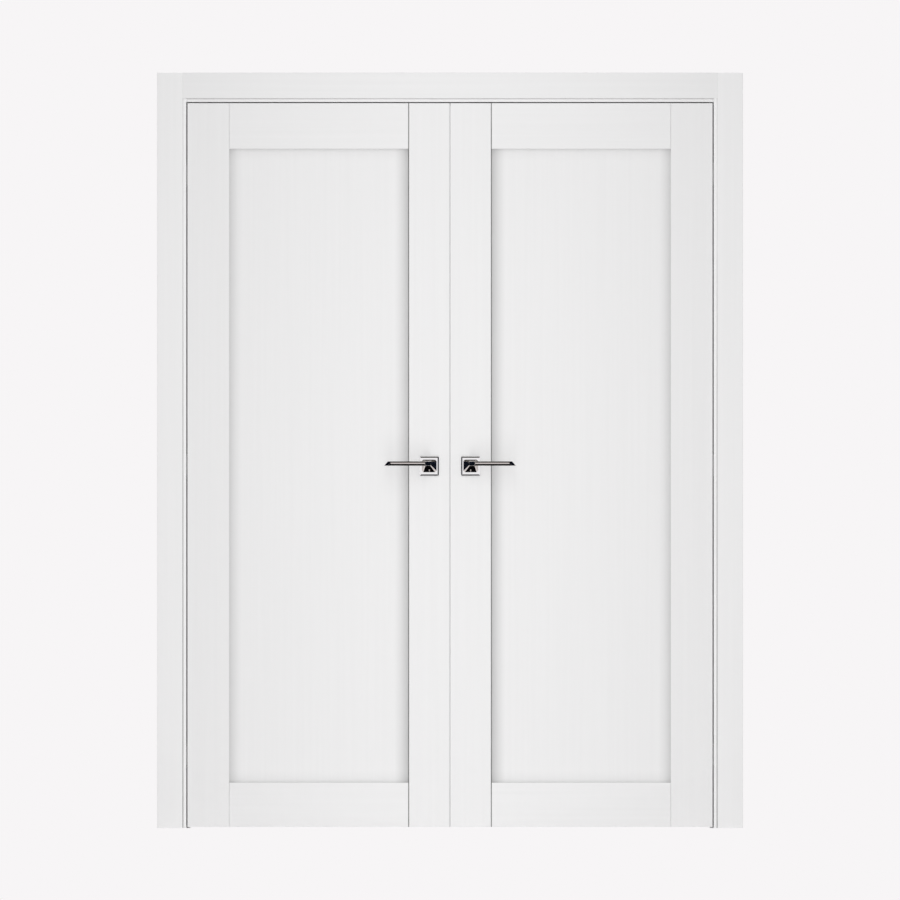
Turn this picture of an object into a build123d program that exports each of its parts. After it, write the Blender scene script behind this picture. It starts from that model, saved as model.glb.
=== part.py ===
from build123d import *
import os
from math import cos, radians, sin

# A pair of white interior doors in their frame, closed, seen from the side they open to.
# X runs to the right, Y to the rear and Z up. The origin is on the floor, in the middle
# of the width and depth. Lengths are in millimetres and angles in degrees.

# Leaves
leaf_width = 735.0
leaf_height = 2030.0
leaf_thickness = 40.0
floor_clearance = 3.0
meeting_gap = 3.0
hinge_gap = 3.0
head_gap = 3.0
edge_round = 1.0

# Stiles, rails and panel of a leaf
hinge_stile_width = 117.0
lock_stile_width = 113.4
top_rail_height = 128.0
bottom_rail_height = 124.0
panel_thickness = 12.0
groove_depth = 16.0
panel_float = 3.0
tongue_float = 0.5
lock_joint_bevel = 1.0
hinge_joint_bevel = 0.5
rail_bevel = 0.6
lock_joint_gap = 2.4
lock_joint_depth = 10.0
hinge_joint_gap = 0.8
hinge_joint_depth = 2.5
panel_quirk_depth = 4.0

# Frame
jamb_depth = 110.0
jamb_thickness = 40.0
stop_projection = 12.0
stop_gap = 4.0
jamb_round = 1.0
casing_width = 71.2
casing_thickness = 10.0
casing_round = 0.8
reveal = 11.0

# Seal strips in the stops
seal_stem_width = 4.0
seal_stem_depth = 6.0
seal_groove_spare = 0.3
seal_bulb_width = 7.0
seal_bulb_round = 2.4
seal_leaf_clearance = 0.5
seal_inset = 5.5

# Holes that fix the frame to the wall, two up each jamb
fixing_hole_radius = 3.5
fixing_bottom_height = 300.0
fixing_spacing = 1400.0

# Screws that hold the head to the side jambs
corner_screw_length = 76.0
corner_screw_radius = 2.5
corner_screw_head_radius = 4.6
corner_screw_head_height = 2.4
corner_screw_inset = 16.0

# Small countersunk screws, in the hinges and in the plates let into edges
small_screw_radius = 2.0
small_screw_head_radius = 4.0
small_screw_head_height = 2.0
hinge_screw_length = 36.0
plate_screw_length = 12.0
plate_screw_inset = 10.0
screw_clearance = 0.05
screw_socket_share = 0.55
screw_socket_depth_share = 0.7

# Concealed hinges, three to a leaf
hinge_end_inset = 200.0
swing_offset = 3.0
arm_inner_radius = 22.0
arm_outer_radius = 27.5
arm_height = 60.0
arm_half_angle = 62.0
arm_clearance = 0.3
arm_groove_depth = 0.8
arm_groove_height = 1.2
arm_groove_shares = (-0.3, -0.1, 0.1, 0.3)
pocket_spare_angle = 2.0
housing_height = 116.0
housing_wall = 1.8
housing_clearance = 0.15
hinge_screw_inset = 12.0

# Lever handles
handle_height = 1015.0
handle_backset = 56.5
rose_size = 53.0
rose_thickness = 8.0
rose_bevel = 3.2
rose_bevel_depth = 2.3
rose_corner = 0.6
rose_spigot_length = 4.0
rose_spigot_clearance = 0.2
spindle_bore_radius = 12.0
spindle_size = 8.0
spindle_clearance = 0.1
spindle_socket_depth = 14.5
journal_radius = 9.0
journal_clearance = 0.3
lever_gap = 0.3
lever_base_width = 43.0
lever_base_height = 37.0
lever_base_corner = 4.4
lever_base_depth = 13.0
lever_neck_width = 16.4
lever_neck_corner = 1.5
lever_neck_length = 24.0
lever_neck_shift = 4.0
lever_neck_slope = 10.0
lever_bar_height = 12.0
lever_bar_depth = 12.0
lever_bar_rise = 7.2
lever_bar_length = 126.5
lever_top_bevel_height = 3.6
lever_top_bevel_depth = 2.8
lever_bottom_bevel_height = 5.0
lever_bottom_bevel_depth = 4.7
lever_tip_slant = 10.0
lever_tip_bevel_length = 18.0
lever_tip_bevel_depth = 8.0
lever_edge_round = 0.4
lever_foot_round = 0.6
grub_hole_radius = 2.2
grub_hole_reach = 12.5

# Lock in the right-hand leaf
faceplate_width = 20.0
faceplate_height = 220.0
faceplate_ear = 27.5
plate_thickness = 3.0
lock_case_depth = 80.0
lock_case_top = 95.0
lock_case_wall = 2.0
lock_case_clearance = 0.2
follower_radius = 11.0
follower_clearance = 0.3
follower_overhang = 1.0
latch_rise = 45.0
latch_height = 30.0
latch_thickness = 12.0
latch_length = 45.0
latch_round = 2.5
latch_clearance = 0.3
latch_setback = 0.5
latch_travel = 12.0

# Strike plate in the left-hand leaf
strike_width = 22.0
strike_height = 90.0
strike_spare_depth = 2.0

# Flush bolts in the left-hand leaf
bolt_end_inset = 200.0
bolt_plate_width = 20.0
bolt_plate_height = 170.0
bolt_rod_radius = 4.0
bolt_rod_inset = 19.0
bolt_rod_chamfer = 1.0
bolt_rod_setback = 1.0
bolt_clearance = 0.3
bolt_travel = 15.0
thumb_width = 7.0
thumb_height = 16.0
thumb_setback = 0.6
keeper_width = 20.0
keeper_length = 50.0
keeper_spare_depth = 4.0

# How far cutting shapes run past what they cut
overrun = 2.0

# Places worked out from the sizes above
lever_reach = rose_thickness + lever_gap + lever_base_depth + lever_neck_length + lever_bar_depth
leaf_front = -(jamb_depth + casing_thickness - lever_reach) / 2
leaf_rear = leaf_front + leaf_thickness
leaf_middle = (leaf_front + leaf_rear) / 2
leaf_bottom = floor_clearance
leaf_top = leaf_bottom + leaf_height
meeting_edge = meeting_gap / 2
hinge_edge = meeting_edge + leaf_width
lock_shoulder = meeting_edge + lock_stile_width
hinge_shoulder = hinge_edge - hinge_stile_width
top_rail_line = leaf_top - top_rail_height
bottom_rail_line = leaf_bottom + bottom_rail_height
jamb_front = leaf_front
jamb_rear = jamb_front + jamb_depth
jamb_face = hinge_edge + hinge_gap
jamb_back = jamb_face + jamb_thickness
stop_face = leaf_rear + stop_gap
stop_edge = jamb_face - stop_projection
head_face = leaf_top + head_gap
head_top = head_face + jamb_thickness
head_stop_edge = head_face - stop_projection
casing_inner = jamb_face + reveal
casing_outer = casing_inner + casing_width
casing_line = head_face + reveal
casing_top = casing_line + casing_width
swing_x = hinge_edge + hinge_gap / 2
swing_y = leaf_front - swing_offset
pocket_half_angle = arm_half_angle + pocket_spare_angle
pocket_inner = arm_inner_radius - arm_clearance
pocket_outer = arm_outer_radius + arm_clearance
housing_front = swing_y + pocket_inner * cos(radians(pocket_half_angle)) - housing_wall
housing_rear = swing_y + pocket_outer + housing_wall
housing_width = housing_rear - housing_front
housing_y = (housing_front + housing_rear) / 2
housing_depth = pocket_outer * sin(radians(pocket_half_angle)) - hinge_gap / 2 + housing_wall
hinge_bottom = leaf_bottom + hinge_end_inset
hinge_top = leaf_top - hinge_end_inset
hinge_heights = {"bottom": hinge_bottom, "middle": (hinge_bottom + hinge_top) / 2, "top": hinge_top}
handle_x = meeting_edge + handle_backset
latch_z = handle_height + latch_rise
lock_case_front = meeting_edge + plate_thickness
lock_case_back = lock_case_front + lock_case_depth
lock_case_bottom = faceplate_height - 2 * faceplate_ear - lock_case_top
lock_case_z = handle_height + (lock_case_top - lock_case_bottom) / 2
lock_case_half = latch_thickness / 2 + latch_clearance + lock_case_wall
strike_pocket_depth = latch_travel - latch_setback - meeting_gap + strike_spare_depth
bolt_x = meeting_edge + bolt_rod_inset
small_screw_sizes = (small_screw_radius, small_screw_head_radius, small_screw_head_height)
corner_screw_sizes = (corner_screw_radius, corner_screw_head_radius, corner_screw_head_height)


def block(x_span, y_span, z_span):
    """A box between two places on each of the three axes."""
    spans = (x_span, y_span, z_span)
    middle = [(low + high) / 2 for low, high in spans]
    return Pos(*middle) * Box(*[high - low for low, high in spans])


def round_bar(start, end, radius):
    """A round bar from one point to another."""
    way = Vector(*end) - Vector(*start)
    return extrude(Plane(origin=start, z_dir=way) * Circle(radius), amount=way.length)


def around(middle, size):
    """The span of a given size about a middle."""
    return (middle - size / 2, middle + size / 2)


def corner_near(section, x, y):
    """The corner of a flat section that is nearest to a point."""
    return section.vertices().sort_by_distance((x, y, 0))[0]


def on_side(side, shape):
    """A shape drawn for the right-hand side, or its mirror image for the left."""
    return shape if side == "right" else mirror(shape, about=Plane.YZ)


def on_face(face, shape):
    """A shape drawn for a leaf's front face, or its mirror image for the rear face."""
    middle_plane = Plane(origin=(0, leaf_middle, 0), z_dir=(0, 1, 0))
    return shape if face == "front" else mirror(shape, about=middle_plane)


def screw_body(plane, length, radius, head_radius, head_height, spare):
    """A countersunk screw pointing along a plane's normal, grown by a clearance all round."""
    low = (Align.CENTER, Align.CENTER, Align.MIN)
    head = Cone(head_radius + spare, radius + spare, head_height, align=low)
    return plane * (head + Cylinder(radius + spare, length + spare, align=low))


def screw(plane, length, radius, head_radius, head_height):
    """A countersunk screw with a six-sided socket in its head."""
    socket_depth = head_height * screw_socket_depth_share
    socket = extrude(RegularPolygon(head_radius * screw_socket_share, 6), amount=socket_depth)
    return screw_body(plane, length, radius, head_radius, head_height, 0) - plane * socket


# Hinges

def crescent(inner, outer, half_angle, z_span):
    """A curved bar about the swing axis, reaching equally to both sides of straight back."""
    straight_back = 90
    centre = (swing_x, swing_y)
    arcs = [CenterArc(centre, r, straight_back - half_angle, 2 * half_angle) for r in (inner, outer)]
    ends = [Line(arcs[0] @ end, arcs[1] @ end) for end in (0, 1)]
    low, high = z_span
    return extrude(Plane.XY.offset(low) * make_face(arcs + ends), amount=high - low)


def hinge_arm(centre_z):
    """The curved arm that slides between the two housings of a hinge, grooved like stacked plates."""
    arm = crescent(arm_inner_radius, arm_outer_radius, arm_half_angle, around(centre_z, arm_height))
    for share in arm_groove_shares:
        groove_span = around(centre_z + share * arm_height, arm_groove_height)
        outside = arm_outer_radius - arm_groove_depth
        inside = arm_inner_radius + arm_groove_depth
        arm -= crescent(outside, arm_outer_radius + overrun, pocket_half_angle, groove_span)
        arm -= crescent(arm_inner_radius - overrun, inside, pocket_half_angle, groove_span)
    return arm


def housing_block(face_x, inward, centre_z, spare):
    """The round-ended block of a hinge housing, let into an edge, grown by a clearance."""
    outline = SlotOverall(housing_height + 2 * spare, housing_width + 2 * spare, rotation=90)
    place = Plane.YZ.offset(face_x) * Pos(housing_y, centre_z)
    return extrude(place * outline, amount=inward * housing_depth)


def hinge_screw_planes(face_x, inward, centre_z):
    """Where the two screws of a housing enter, one near each end."""
    reach = housing_height / 2 - hinge_screw_inset
    places = [(face_x, housing_y, centre_z + way * reach) for way in (-1, 1)]
    return [Plane(origin=place, z_dir=(inward, 0, 0)) for place in places]


def hinge_screw_holes(face_x, inward, centre_z):
    """Clearance holes for the two screws of a housing."""
    planes = hinge_screw_planes(face_x, inward, centre_z)
    return [screw_body(plane, hinge_screw_length, *small_screw_sizes, screw_clearance) for plane in planes]


def hinge_screws(face_x, inward):
    """All the screws that hold the housings along one edge."""
    heights = hinge_heights.values()
    planes = [plane for z in heights for plane in hinge_screw_planes(face_x, inward, z)]
    return [screw(plane, hinge_screw_length, *small_screw_sizes) for plane in planes]


def hinge_housing(face_x, inward, centre_z):
    """A hinge housing with the curved pocket that its arm slides in."""
    pocket_height = arm_height + 2 * arm_clearance
    housing = housing_block(face_x, inward, centre_z, 0)
    housing -= crescent(pocket_inner, pocket_outer, pocket_half_angle, around(centre_z, pocket_height))
    for hole in hinge_screw_holes(face_x, inward, centre_z):
        housing -= hole
    return housing


def cut_for_hinges(timber, face_x, inward):
    """Timber with the mortises and screw holes of three hinge housings in one edge."""
    for centre_z in hinge_heights.values():
        timber -= housing_block(face_x, inward, centre_z, housing_clearance)
        for hole in hinge_screw_holes(face_x, inward, centre_z):
            timber -= hole
    return timber


# Timber of a leaf

def stile(free_edge, shoulder, bevel):
    """An upright, rounded on its free edge, bevelled and grooved along the panel."""
    width = abs(shoulder - free_edge)
    section = Pos((free_edge + shoulder) / 2, leaf_middle) * Rectangle(width, leaf_thickness)
    for y in (leaf_front, leaf_rear):
        section = fillet(corner_near(section, free_edge, y), edge_round)
        section = chamfer(corner_near(section, shoulder, y), bevel)
    section -= Pos(shoulder, leaf_middle) * Rectangle(2 * groove_depth, panel_thickness)
    return extrude(Plane.XY.offset(leaf_bottom) * section, amount=leaf_height)


def joint_groove(x, inward, gap, depth, z_span):
    """The shadow groove beside a stile, cut into both faces of a rail's end."""
    x_span = sorted((x - inward * overrun, x + inward * gap))
    front = block(x_span, (leaf_front - overrun, leaf_front + depth), z_span)
    rear = block(x_span, (leaf_rear - depth, leaf_rear + overrun), z_span)
    return front + rear


def rail(free_edge, shoulder):
    """A cross piece grooved for the panel, with a tongue and shadow grooves at each end."""
    height = abs(shoulder - free_edge)
    away = 1 if free_edge > shoulder else -1
    section = Pos(leaf_middle, (free_edge + shoulder) / 2) * Rectangle(leaf_thickness, height)
    for y in (leaf_front, leaf_rear):
        section = chamfer(corner_near(section, y, shoulder), rail_bevel)
    section -= Pos(leaf_middle, shoulder) * Rectangle(panel_thickness, 2 * groove_depth)
    length = hinge_shoulder - lock_shoulder
    piece = extrude(Plane.YZ.offset(lock_shoulder) * section, amount=length)
    span = sorted((free_edge, shoulder))
    lock_joint = (lock_shoulder, 1, lock_joint_gap, lock_joint_depth)
    hinge_joint = (hinge_shoulder, -1, hinge_joint_gap, hinge_joint_depth)
    for x, inward, gap, depth in (lock_joint, hinge_joint):
        piece -= joint_groove(x, inward, gap, depth, span)
        tongue_end = x - inward * (groove_depth - tongue_float)
        tongue_span = sorted((free_edge, shoulder + away * groove_depth))
        piece += block(sorted((x, tongue_end)), around(leaf_middle, panel_thickness), tongue_span)
    return piece


def panel():
    """The flat panel that floats in the grooves, with a quirk down each face beside the lock stile."""
    lap = groove_depth - panel_float
    x_span = (lock_shoulder - lap, hinge_shoulder + lap)
    y_span = around(leaf_middle, panel_thickness)
    z_span = (bottom_rail_line - lap, top_rail_line + lap)
    sheet = block(x_span, y_span, z_span)
    quirk_x = (lock_shoulder, lock_shoulder + lock_joint_gap)
    sheet -= block(quirk_x, (y_span[0] - overrun, y_span[0] + panel_quirk_depth), z_span)
    return sheet - block(quirk_x, (y_span[1] - panel_quirk_depth, y_span[1] + overrun), z_span)


def spindle_bore():
    """The bore for a handle's spindle, right through a leaf."""
    ends = [(handle_x, y, handle_height) for y in (leaf_front - overrun, leaf_rear + overrun)]
    return round_bar(*ends, spindle_bore_radius)


def edge_plate(width, height, centre_z):
    """A round-ended plate let flush into the meeting edge."""
    outline = SlotOverall(height, width, rotation=90)
    place = Plane.YZ.offset(meeting_edge) * Pos(leaf_middle, centre_z)
    return extrude(place * outline, amount=plate_thickness)


def edge_screw_planes(height, centre_z):
    """Where the two screws of a plate in the meeting edge enter."""
    reach = height / 2 - plate_screw_inset
    places = [(meeting_edge, leaf_middle, centre_z + way * reach) for way in (-1, 1)]
    return [Plane(origin=place, z_dir=(1, 0, 0)) for place in places]


def cut_for_plate_screws(shape, planes):
    """A shape with clearance holes for the screws of a plate."""
    for plane in planes:
        shape -= screw_body(plane, plate_screw_length, *small_screw_sizes, screw_clearance)
    return shape


def plate_screws(planes):
    """The screws that hold a plate."""
    return [screw(plane, plate_screw_length, *small_screw_sizes) for plane in planes]


def hinge_stile():
    """The upright that carries a leaf's hinge housings."""
    return cut_for_hinges(stile(hinge_edge, hinge_shoulder, hinge_joint_bevel), hinge_edge, -1)


def active_lock_stile():
    """The meeting stile that holds the lock."""
    timber = stile(meeting_edge, lock_shoulder, lock_joint_bevel) - spindle_bore()
    timber -= edge_plate(faceplate_width, faceplate_height, lock_case_z)
    timber = cut_for_plate_screws(timber, edge_screw_planes(faceplate_height, lock_case_z))
    return timber - lock_case_block(lock_case_clearance)


def passive_lock_stile():
    """The meeting stile that holds the strike plate and the flush bolts."""
    timber = stile(meeting_edge, lock_shoulder, lock_joint_bevel) - spindle_bore()
    timber -= edge_plate(strike_width, strike_height, latch_z)
    timber -= latch_way((meeting_edge, meeting_edge + strike_pocket_depth))
    timber = cut_for_plate_screws(timber, passive_plate_planes())
    for end in bolt_ends:
        timber -= edge_plate(bolt_plate_width, bolt_plate_height, bolt_plate_z[end])
        timber -= thumb_way(end)
        timber -= rod_way(end)
    return timber


# Lock and strike

def latch_way(x_span):
    """The clear way that the latch slides in."""
    width = latch_thickness + 2 * latch_clearance
    height = latch_height + 2 * latch_clearance
    return block(x_span, around(leaf_middle, width), around(latch_z, height))


def lock_case_block(spare):
    """The outside of the lock case, grown by a clearance."""
    z_span = (handle_height - lock_case_bottom - spare, handle_height + lock_case_top + spare)
    x_span = (lock_case_front, lock_case_back + spare)
    return block(x_span, around(leaf_middle, 2 * (lock_case_half + spare)), z_span)


def follower_bar(radius, overhang):
    """A round bar across the lock case at the spindle."""
    reach = lock_case_half + overhang
    ends = [(handle_x, leaf_middle + way * reach, handle_height) for way in (-1, 1)]
    return round_bar(*ends, radius)


def lock_case():
    """The case that guides the latch and the follower."""
    latch_end = meeting_edge + latch_setback + latch_length + latch_clearance
    case = lock_case_block(0) - latch_way((meeting_edge, latch_end))
    return case - follower_bar(follower_radius + follower_clearance, overrun)


def lock_faceplate():
    """The plate on the meeting edge that the latch comes out of."""
    plate = edge_plate(faceplate_width, faceplate_height, lock_case_z)
    plate = cut_for_plate_screws(plate, edge_screw_planes(faceplate_height, lock_case_z))
    return plate - latch_way((meeting_edge - overrun, lock_case_front + overrun))


def latch_bolt():
    """The magnetic latch, drawn back inside the lock."""
    nose = meeting_edge + latch_setback
    x_span = (nose, nose + latch_length)
    bolt = block(x_span, around(leaf_middle, latch_thickness), around(latch_z, latch_height))
    nose_edges = bolt.faces().sort_by(Axis.X)[0].edges()
    return fillet(nose_edges, latch_round)


def strike_plate():
    """The plate on the passive leaf that takes the latch."""
    plate = edge_plate(strike_width, strike_height, latch_z)
    plate = cut_for_plate_screws(plate, edge_screw_planes(strike_height, latch_z))
    return plate - latch_way((meeting_edge - overrun, meeting_edge + plate_thickness + overrun))


# Flush bolts

bolt_ends = {"top": 1, "bottom": -1}
bolt_plate_z = {"top": leaf_top - bolt_end_inset, "bottom": leaf_bottom + bolt_end_inset}
bolt_leaf_end = {"top": leaf_top, "bottom": leaf_bottom}


def passive_plate_planes():
    """Where the screws of the strike plate and of both flush bolt plates enter."""
    planes = edge_screw_planes(strike_height, latch_z)
    for end in bolt_ends:
        planes += edge_screw_planes(bolt_plate_height, bolt_plate_z[end])
    return planes


def thumb_way(end):
    """The slot that a flush bolt's thumb piece moves along."""
    spare = bolt_clearance + thumb_height / 2
    first = bolt_plate_z[end] - bolt_ends[end] * spare
    last = bolt_plate_z[end] + bolt_ends[end] * (spare + bolt_travel)
    x_span = (meeting_edge - overrun, bolt_x + bolt_rod_radius + bolt_clearance)
    return block(x_span, around(leaf_middle, thumb_width + 2 * bolt_clearance), sorted((first, last)))


def rod_way(end):
    """The bore that a flush bolt's rod slides in, out through the end of the leaf."""
    start = (bolt_x, leaf_middle, bolt_plate_z[end] - bolt_ends[end] * (thumb_height / 2 + bolt_clearance))
    finish = (bolt_x, leaf_middle, bolt_leaf_end[end] + bolt_ends[end] * overrun)
    return round_bar(start, finish, bolt_rod_radius + bolt_clearance)


def bolt_plate(end):
    """The plate of a flush bolt, with the slot for its thumb piece."""
    plate = edge_plate(bolt_plate_width, bolt_plate_height, bolt_plate_z[end])
    plate = cut_for_plate_screws(plate, edge_screw_planes(bolt_plate_height, bolt_plate_z[end]))
    return plate - thumb_way(end)


def bolt_rod(end):
    """The rod of a flush bolt with its thumb piece, drawn back inside the leaf."""
    foot_z = bolt_plate_z[end] - bolt_ends[end] * thumb_height / 2
    tip_z = bolt_leaf_end[end] - bolt_ends[end] * bolt_rod_setback
    rod = round_bar((bolt_x, leaf_middle, foot_z), (bolt_x, leaf_middle, tip_z), bolt_rod_radius)
    tip_edges = rod.faces().sort_by(Axis.Z)[-1 if end == "top" else 0].edges()
    rod = chamfer(tip_edges, bolt_rod_chamfer)
    x_span = (meeting_edge + thumb_setback, bolt_x)
    return rod + block(x_span, around(leaf_middle, thumb_width), around(bolt_plate_z[end], thumb_height))


def keeper_block():
    """The outside of the plate in the head that takes the top flush bolt."""
    outline = SlotOverall(keeper_length, keeper_width)
    return extrude(Plane.XY.offset(head_face) * Pos(bolt_x, leaf_middle) * outline, amount=plate_thickness)


def keeper_screw_planes():
    """Where the two screws of the keeper plate enter."""
    reach = keeper_length / 2 - plate_screw_inset
    places = [(bolt_x + way * reach, leaf_middle, head_face) for way in (-1, 1)]
    return [Plane(origin=place, z_dir=(0, 0, 1)) for place in places]


def keeper_plate():
    """The plate in the head that takes the top flush bolt."""
    return cut_for_plate_screws(keeper_block(), keeper_screw_planes()) - keeper_bore()


def keeper_bore():
    """The bore in the head above the top flush bolt."""
    reach = bolt_travel - bolt_rod_setback + keeper_spare_depth
    ends = [(bolt_x, leaf_middle, z) for z in (head_face - overrun, leaf_top + reach)]
    return round_bar(*ends, bolt_rod_radius + bolt_clearance)


# Handles, drawn on a plane with U towards the hinges, V up and W out from the leaf

handle_plane = Plane(origin=(handle_x, leaf_front, handle_height), x_dir=(1, 0, 0), z_dir=(0, -1, 0))


def cut_corner_section(width, height, corner):
    """A rectangle with its four corners cut off."""
    section = Rectangle(width, height)
    return chamfer(section.vertices(), corner)


def rose():
    """A square rose with a bevelled face, a bearing bore and a spigot into the leaf."""
    section = fillet(Rectangle(rose_size, rose_size).vertices(), rose_corner)
    face_size = rose_size - 2 * rose_bevel
    face = fillet(Rectangle(face_size, face_size).vertices(), rose_corner)
    side_height = rose_thickness - rose_bevel_depth
    plate = extrude(section, amount=side_height)
    plate += loft([Pos(0, 0, side_height) * section, Pos(0, 0, rose_thickness) * face], ruled=True)
    spigot_radius = spindle_bore_radius - rose_spigot_clearance
    plate += round_bar((0, 0, -rose_spigot_length), (0, 0, rose_thickness / 2), spigot_radius)
    bore_ends = ((0, 0, -rose_spigot_length - overrun), (0, 0, rose_thickness + overrun))
    return handle_plane * (plate - round_bar(*bore_ends, journal_radius + journal_clearance))


def lever_base(low):
    """The flared foot of a lever, from the rose up to the neck, which stands to one side and higher."""
    foot = cut_corner_section(lever_base_width, lever_base_height, lever_base_corner)
    top = cut_corner_section(lever_neck_width, lever_bar_height, lever_neck_corner)
    high = low + lever_base_depth
    return loft([Pos(0, 0, low) * foot, Pos(lever_neck_shift, lever_bar_rise, high) * top], ruled=True)


def wedge(plane, points, half_length):
    """A three-cornered cutter, drawn on a plane and reaching equally to both sides of it."""
    return extrude(plane * Polygon(*points, align=None), amount=half_length, both=True)


def neck_slope():
    """What is cut off the outer corner where the neck turns into the bar."""
    near, far = around(lever_neck_shift, lever_neck_width)
    corner = [(near, lever_reach - lever_neck_slope), (far, lever_reach), (near, lever_reach)]
    return wedge(Plane.XZ, corner, rose_size)


def lever_neck(low):
    """The neck between the foot and the bar, its outer corner cut off where it turns into the bar."""
    section = cut_corner_section(lever_neck_width, lever_bar_height, lever_neck_corner)
    neck = extrude(Pos(lever_neck_shift, lever_bar_rise, low) * section, amount=lever_reach - low)
    return neck - neck_slope()


def lever_bar():
    """The hand bar: a flat front between two bevels, with a bevelled and slanted tip."""
    back = lever_reach - lever_bar_depth
    low, high = around(lever_bar_rise, lever_bar_height)
    outline = [
        (low, back),
        (high, back),
        (high, lever_reach - lever_top_bevel_depth),
        (high - lever_top_bevel_height, lever_reach),
        (low + lever_bottom_bevel_height, lever_reach),
        (low, lever_reach - lever_bottom_bevel_depth),
    ]
    section = make_face(Polyline(*outline, close=True))
    length = lever_bar_length - lever_neck_shift
    bar = extrude(Plane.YZ.offset(lever_neck_shift) * section, amount=length, dir=(1, 0, 0))
    end = lever_bar_length
    bar -= wedge(Plane.XY, [(end - lever_tip_slant, high), (end, high), (end, low)], 2 * lever_reach)
    bevel = [(end - lever_tip_bevel_length, lever_reach), (end, lever_reach)]
    bar -= wedge(Plane.XZ, bevel + [(end, lever_reach - lever_tip_bevel_depth)], rose_size)
    return fillet(bar.edges(), lever_edge_round) - neck_slope()


def lever():
    """A lever handle cast in one piece, with a journal in the rose and a socket for the spindle."""
    foot = rose_thickness + lever_gap
    journal = round_bar((0, 0, 0), (0, 0, foot), journal_radius)
    stem = lever_base(foot) + lever_neck(foot + lever_base_depth)
    casting = fillet(stem.edges(), lever_foot_round) + lever_bar()
    grub_hole = round_bar((0, 0, grub_hole_reach), (0, -lever_base_height, grub_hole_reach), grub_hole_radius)
    socket_size = spindle_size + 2 * spindle_clearance
    socket_span = (-overrun, spindle_socket_depth)
    socket = block(around(0, socket_size), around(0, socket_size), socket_span)
    return handle_plane * (journal + casting - socket - grub_hole)


def spindle():
    """The square bar that joins the two levers of a leaf."""
    reach = spindle_socket_depth - spindle_clearance
    y_span = (leaf_front - reach, leaf_rear + reach)
    return block(around(handle_x, spindle_size), y_span, around(handle_height, spindle_size))


def follower():
    """The hub in the lock that the spindle turns."""
    hole_size = spindle_size + 2 * spindle_clearance
    y_span = (leaf_front, leaf_rear)
    hole = block(around(handle_x, hole_size), y_span, around(handle_height, hole_size))
    return follower_bar(follower_radius, follower_overhang) - hole


# Frame

def corner_screw_planes():
    """Where the screws at the right-hand corner of the frame enter the side jamb."""
    height = (head_face + head_top) / 2
    depths = (jamb_front + corner_screw_inset, jamb_rear - corner_screw_inset)
    return [Plane(origin=(jamb_back, y, height), z_dir=(-1, 0, 0)) for y in depths]


def corner_screws():
    """The screws at the right-hand corner of the frame."""
    return [screw(plane, corner_screw_length, *corner_screw_sizes) for plane in corner_screw_planes()]


def cut_for_corner_screws(timber):
    """Timber with the holes of the screws at the right-hand corner of the frame."""
    for plane in corner_screw_planes():
        timber -= screw_body(plane, corner_screw_length, *corner_screw_sizes, screw_clearance)
    return timber


def side_jamb():
    """A side of the frame, rebated for the leaf, with the stop that the seal sits in."""
    outline = [
        (jamb_face, jamb_front),
        (jamb_back, jamb_front),
        (jamb_back, jamb_rear),
        (stop_edge, jamb_rear),
        (stop_edge, stop_face),
        (jamb_face, stop_face),
    ]
    section = make_face(Polyline(*outline, close=True))
    for x, y in ((jamb_face, jamb_front), (stop_edge, stop_face), (stop_edge, jamb_rear)):
        section = fillet(corner_near(section, x, y), jamb_round)
    groove_bottom = stop_face + seal_stem_depth + seal_groove_spare
    groove_x = stop_edge + seal_inset
    groove_y = (stop_face + groove_bottom) / 2
    section -= Pos(groove_x, groove_y) * Rectangle(seal_stem_width, groove_bottom - stop_face)
    timber = extrude(section, amount=head_top, dir=(0, 0, 1))
    fixing_y = (stop_face + jamb_rear) / 2
    for z in (fixing_bottom_height, fixing_bottom_height + fixing_spacing):
        ends = [(x, fixing_y, z) for x in (stop_edge - overrun, jamb_back + overrun)]
        timber -= round_bar(*ends, fixing_hole_radius)
    return cut_for_corner_screws(cut_for_hinges(timber, jamb_face, 1))


def head_jamb():
    """The head of the frame, between the side jambs, with its stop."""
    rebate = Pos((jamb_front + stop_face) / 2, (head_face + head_top) / 2)
    rebate *= Rectangle(stop_face - jamb_front, jamb_thickness)
    rebate = fillet(corner_near(rebate, jamb_front, head_face), jamb_round)
    stop = Pos((stop_face + jamb_rear) / 2, (head_stop_edge + head_top) / 2)
    stop *= Rectangle(jamb_rear - stop_face, head_top - head_stop_edge)
    for y in (stop_face, jamb_rear):
        stop = fillet(corner_near(stop, y, head_stop_edge), jamb_round)
    groove_bottom = stop_face + seal_stem_depth + seal_groove_spare
    groove_place = Pos((stop_face + groove_bottom) / 2, head_stop_edge + seal_inset)
    stop -= groove_place * Rectangle(groove_bottom - stop_face, seal_stem_width)
    timber = extrude(Plane.YZ * rebate, amount=jamb_face, both=True)
    timber += extrude(Plane.YZ * stop, amount=stop_edge, both=True)
    timber -= on_side("left", keeper_block())
    timber -= on_side("left", keeper_bore())
    timber = on_side("left", cut_for_plate_screws(on_side("left", timber), keeper_screw_planes()))
    for side in sides:
        timber = on_side(side, cut_for_corner_screws(on_side(side, timber)))
    return timber


def seal_section():
    """A seal's section, with U across the stop and V out towards the leaf from the stop's face."""
    bulb_height = stop_gap - seal_leaf_clearance
    bulb = Pos(0, bulb_height / 2) * Rectangle(seal_bulb_width, bulb_height)
    for way in (-1, 1):
        bulb = fillet(corner_near(bulb, way * seal_bulb_width / 2, bulb_height), seal_bulb_round)
    return bulb + Pos(0, -seal_stem_depth / 2) * Rectangle(seal_stem_width, seal_stem_depth)


def side_seal():
    """The rubber strip in a side stop."""
    start = (stop_edge + seal_inset, stop_face, 0)
    place = Plane(origin=start, x_dir=(-1, 0, 0), z_dir=(0, 0, 1))
    return extrude(place * seal_section(), amount=head_stop_edge, dir=(0, 0, 1))


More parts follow.
